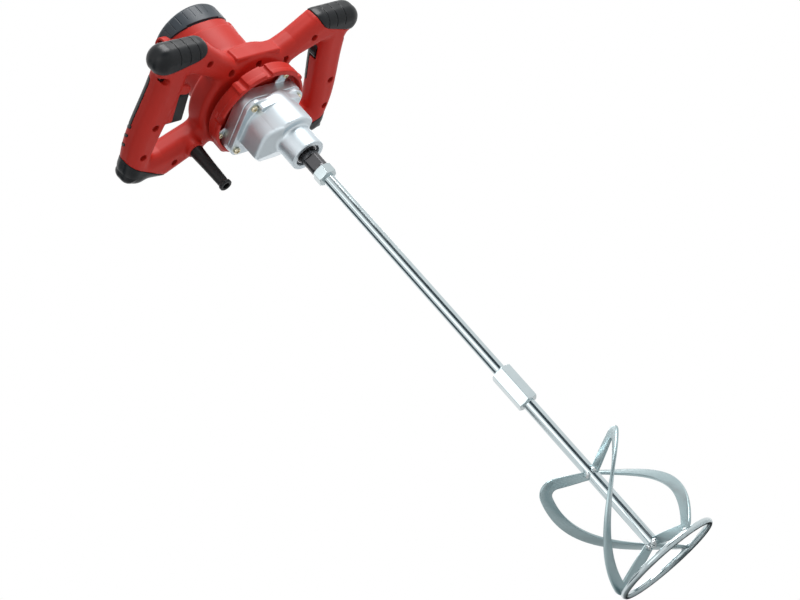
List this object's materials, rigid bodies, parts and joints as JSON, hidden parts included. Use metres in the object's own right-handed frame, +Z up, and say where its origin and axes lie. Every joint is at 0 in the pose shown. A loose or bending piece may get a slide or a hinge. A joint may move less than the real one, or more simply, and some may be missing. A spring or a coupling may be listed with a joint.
{
  "type": "mixing drill",
  "caption": "Handheld mixing drill with a looped handle on each side, a die-cast gear nose and a long screw-in stirrer whose twisted blades end in a foot ring.",
  "frame": {"origin": "on the spindle axis at the lowest point of the stirrer ring", "axes": "+Z up the spindle from the stirrer to the motor cap, +X from the trigger handle to the second handle, +Y towards the cord boot"},
  "size_m": [0.3086, 0.1893, 0.8365],
  "materials": {
    "red_plastic": "satin moulded red plastic",
    "black_plastic": "satin black plastic",
    "soft_grip": "soft black overmould",
    "cast_aluminium": "bright die-cast aluminium",
    "zinc_steel": "bright zinc-plated steel",
    "dark_steel": "black-oxide steel",
    "bearing_steel": "ground bearing steel",
    "gear_steel": "hardened gear steel",
    "seal": "pale retaining ring",
    "screw_steel": "yellow-passivated steel",
    "lamination": "stacked motor laminations",
    "copper": "enamelled copper",
    "brass": "pressed brass",
    "carbon": "carbon brush",
    "fan_plastic": "glass-filled plastic"
  },
  "bodies": {
    "housing": {"gear_case": "cast_aluminium", "bearing_plate": "cast_aluminium", "gear_case_screws": "screw_steel", "plate_screws": "screw_steel", "nose_bearing": "bearing_steel", "inner_spindle_bearing": "bearing_steel", "retaining_ring": "seal", "bearing_spacer": "bearing_steel", "intermediate_lower_bearing": "bearing_steel", "intermediate_upper_bearing": "bearing_steel", "motor_front_bearing": "bearing_steel", "motor_rear_bearing": "bearing_steel", "field_core": "lamination", "field_coils": "copper", "brush_holders": "brass", "brushes": "carbon", "brush_caps": "black_plastic", "rear_cap": "black_plastic", "cap_screws": "screw_steel", "horn_left": "black_plastic", "horn_right": "black_plastic", "foot_left": "black_plastic", "foot_right": "black_plastic", "grip_pad_left": "soft_grip", "grip_pad_right": "soft_grip", "handle_lower_shell": "red_plastic", "handle_upper_shell": "red_plastic", "switch_body": "black_plastic", "speed_control": "black_plastic", "cord_boot": "soft_grip", "handle_screws": "screw_steel"},
    "stirrer_spindle": {"output_spindle": "dark_steel", "spindle_circlip": "gear_steel", "output_gear": "gear_steel", "stirrer_upper_rod": "zinc_steel", "coupling_sleeve": "zinc_steel", "stirrer_lower_rod": "zinc_steel", "blade_1": "zinc_steel", "blade_2": "zinc_steel", "blade_3": "zinc_steel", "stirrer_ring": "zinc_steel"},
    "intermediate_shaft_set": {"intermediate_shaft": "gear_steel", "intermediate_gear": "gear_steel"},
    "armature": {"armature_shaft": "gear_steel", "armature_core": "lamination", "armature_front_windings": "copper", "armature_rear_windings": "copper", "commutator": "copper", "fan": "fan_plastic"},
    "trigger_key": {"trigger": "black_plastic"},
    "lock_pin": {"lock_button": "black_plastic"},
    "speed_wheel": {"speed_dial": "black_plastic"}
  },
  "joints": [
    {"name": "spindle_spin", "type": "hinge", "parent": "housing", "child": "stirrer_spindle", "pos_m": [0, 0, 0.64], "axis": [0, 0, 1], "continuous": true},
    {"name": "intermediate_spin", "type": "hinge", "parent": "housing", "child": "intermediate_shaft_set", "pos_m": [0, 0.0315, 0.67], "axis": [0, 0, 1], "continuous": true},
    {"name": "armature_spin", "type": "hinge", "parent": "housing", "child": "armature", "pos_m": [0, 0.012, 0.75], "axis": [0, 0, 1], "continuous": true},
    {"name": "trigger_pull", "type": "slide", "parent": "housing", "child": "trigger_key", "axis": [-1, 0, 0], "range_m": [0, 0.006], "stiffness_N_per_m": 800, "springref_m": -0.004},
    {"name": "lock_press", "type": "slide", "parent": "housing", "child": "lock_pin", "axis": [0, -0.0872, -0.9962], "range_m": [0, 0.0025], "stiffness_N_per_m": 600, "springref_m": -0.002},
    {"name": "speed_turn", "type": "hinge", "parent": "housing", "child": "speed_wheel", "pos_m": [0.1155, -0.02192, 0.73092], "axis": [0, 0.0872, 0.9962], "range_deg": [0, 270]}
  ],
  "couplings": [
    {"joint": "intermediate_spin", "follows": "spindle_spin", "ratio": -3.6667},
    {"joint": "armature_spin", "follows": "spindle_spin", "ratio": 14.208}
  ]
}
